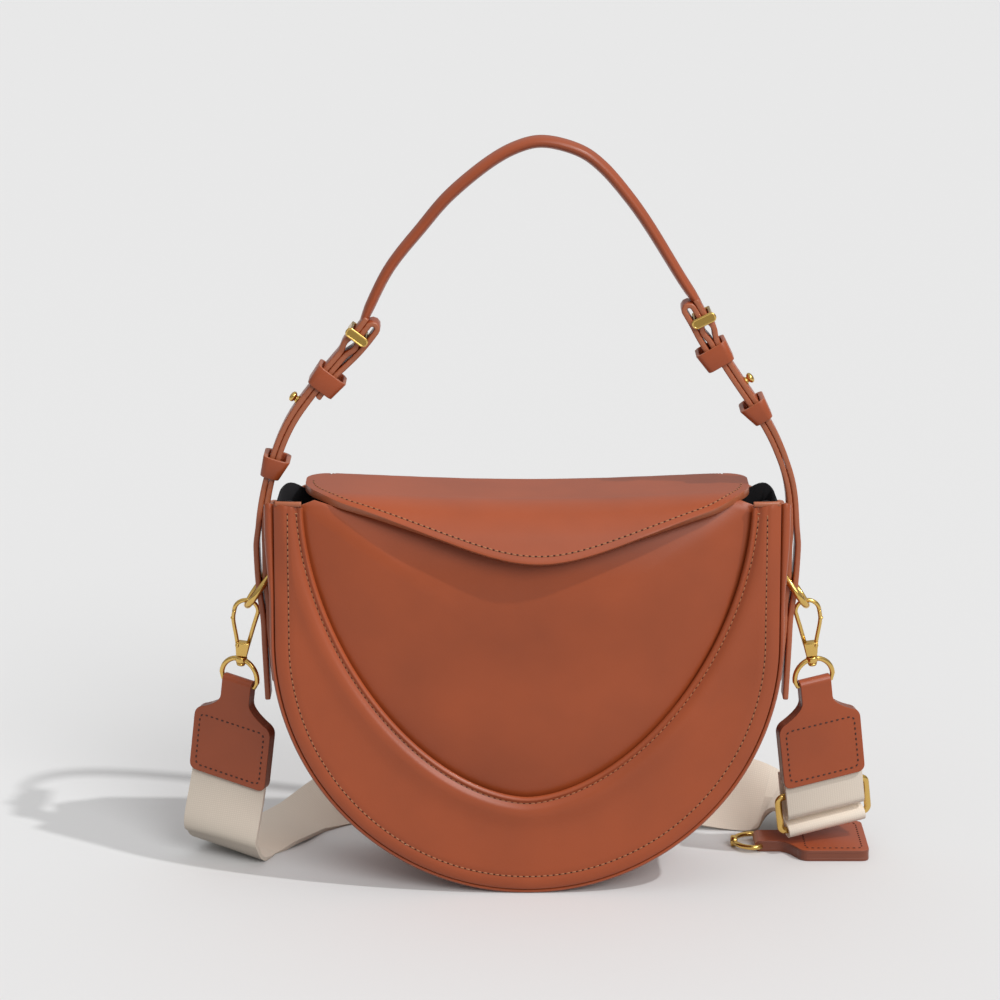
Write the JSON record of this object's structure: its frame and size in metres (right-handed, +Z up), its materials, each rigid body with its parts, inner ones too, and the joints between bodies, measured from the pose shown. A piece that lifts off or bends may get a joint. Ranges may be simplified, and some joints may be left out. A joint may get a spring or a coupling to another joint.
{
  "type": "half-moon flap shoulder bag",
  "caption": "Half-moon leather shoulder bag with a pointed flap, buckled rolled handle, metal clips and a clip-on canvas webbing strap laid round it.",
  "frame": {"origin": "on the floor under the middle of the bag body", "axes": "+X to the right seen from the front, +Y to the back, +Z up; the front with the flap faces -Y"},
  "size_m": [0.3213, 0.1217, 0.3418],
  "materials": {
    "tan_leather": "smooth semi-matt tan leather with darker painted edges",
    "lining": "matt black woven lining",
    "brass": "polished pale gold plating",
    "webbing": "matt ecru cotton webbing"
  },
  "bodies": {
    "bag": {"front_border_band": "tan_leather", "front_bib_panel": "tan_leather", "back_panel": "tan_leather", "gusset": "tan_leather", "lining": "lining", "magnet_snap_socket": "brass", "handle_tail_left": "tan_leather", "handle_tail_right": "tan_leather", "anchor_end_left": "tan_leather", "anchor_end_right": "tan_leather", "webbing_run": "webbing", "strap_tab_floor": "tan_leather", "swivel_eye_floor": "brass"},
    "flap": {"flap_outer": "tan_leather", "flap_lining": "tan_leather", "magnet_snap_stud": "brass"},
    "handle": {"handle_roll": "tan_leather", "handle_strap_left": "tan_leather", "anchor_strap_left": "tan_leather", "slider_left": "brass", "stud_left": "brass", "handle_strap_right": "tan_leather", "anchor_strap_right": "tan_leather", "slider_right": "brass", "stud_right": "brass"},
    "keeper_lower_left": {"keeper_lower_left": "tan_leather"},
    "keeper_upper_left": {"keeper_upper_left": "tan_leather"},
    "keeper_lower_right": {"keeper_lower_right": "tan_leather"},
    "keeper_upper_right": {"keeper_upper_right": "tan_leather"},
    "d_ring_left": {"d_ring_left": "brass"},
    "strap_end_left": {"swivel_eye_left": "brass", "strap_tab_left": "tan_leather", "webbing_left_end": "webbing"},
    "hook_left": {"snap_hook_left": "brass"},
    "gate_left": {"gate_left": "brass"},
    "d_ring_right": {"d_ring_right": "brass"},
    "strap_end_right": {"swivel_eye_right": "brass", "strap_tab_right": "tan_leather", "webbing_right_loop": "webbing", "adjuster_ring": "brass", "webbing_ring_end": "webbing"},
    "hook_right": {"snap_hook_right": "brass"},
    "gate_right": {"gate_right": "brass"}
  },
  "joints": [
    {"name": "flap_hinge", "type": "hinge", "parent": "bag", "child": "flap", "pos_m": [0, 0.021, 0.1803], "axis": [-1, 0, 0], "range_deg": [0, 110]},
    {"name": "handle_swing", "type": "hinge", "parent": "bag", "child": "handle", "pos_m": [0, 0, 0.151], "axis": [1, 0, 0], "range_deg": [-80, 80]},
    {"name": "keeper_lower_left_slide", "type": "slide", "parent": "handle", "child": "keeper_lower_left", "axis": [0.2967, 0, 0.955], "range_m": [-0.003, 0.003]},
    {"name": "keeper_upper_left_slide", "type": "slide", "parent": "handle", "child": "keeper_upper_left", "axis": [0.6049, 0, 0.7963], "range_m": [-0.003, 0.003]},
    {"name": "keeper_lower_right_slide", "type": "slide", "parent": "handle", "child": "keeper_lower_right", "axis": [-0.5289, 0, 0.8487], "range_m": [-0.003, 0.003]},
    {"name": "keeper_upper_right_slide", "type": "slide", "parent": "handle", "child": "keeper_upper_right", "axis": [-0.503, 0, 0.8643], "range_m": [-0.003, 0.003]},
    {"name": "d_ring_left_hinge", "type": "hinge", "parent": "bag", "child": "d_ring_left", "pos_m": [-0.1159, 0, 0.143], "axis": [0, 1, 0], "range_deg": [0, 22]},
    {"name": "strap_end_left_lift", "type": "slide", "parent": "bag", "child": "strap_end_left", "axis": [-0.6946, 0, 0.7194], "range_m": [0, 0.0077]},
    {"name": "hook_left_swivel", "type": "hinge", "parent": "strap_end_left", "child": "hook_left", "pos_m": [-0.12737, 0, 0.12662], "axis": [-0.1219, 0.1381, -0.9829], "range_deg": [-20, 20]},
    {"name": "gate_left_hinge", "type": "hinge", "parent": "hook_left", "child": "gate_left", "pos_m": [-0.1323, 0.00273, 0.10716], "axis": [0, 0.9903, 0.1392], "range_deg": [0, 10], "stiffness_Nm_per_rad": 0.02},
    {"name": "d_ring_right_hinge", "type": "hinge", "parent": "bag", "child": "d_ring_right", "pos_m": [0.1159, 0, 0.143], "axis": [0, -1, 0], "range_deg": [0, 22]},
    {"name": "strap_end_right_lift", "type": "slide", "parent": "bag", "child": "strap_end_right", "axis": [0.6946, 0, 0.7194], "range_m": [0, 0.0077]},
    {"name": "hook_right_swivel", "type": "hinge", "parent": "strap_end_right", "child": "hook_right", "pos_m": [0.12737, 0, 0.12662], "axis": [0.1219, 0.1381, -0.9829], "range_deg": [-20, 20]},
    {"name": "gate_right_hinge", "type": "hinge", "parent": "hook_right", "child": "gate_right", "pos_m": [0.1323, 0.00273, 0.10716], "axis": [0, -0.9903, -0.1392], "range_deg": [0, 10], "stiffness_Nm_per_rad": 0.02}
  ],
  "couplings": [
    {"joint": "strap_end_left_lift", "follows": "d_ring_left_hinge", "m_per_rad": 0.01987},
    {"joint": "strap_end_right_lift", "follows": "d_ring_right_hinge", "m_per_rad": 0.01987}
  ]
}
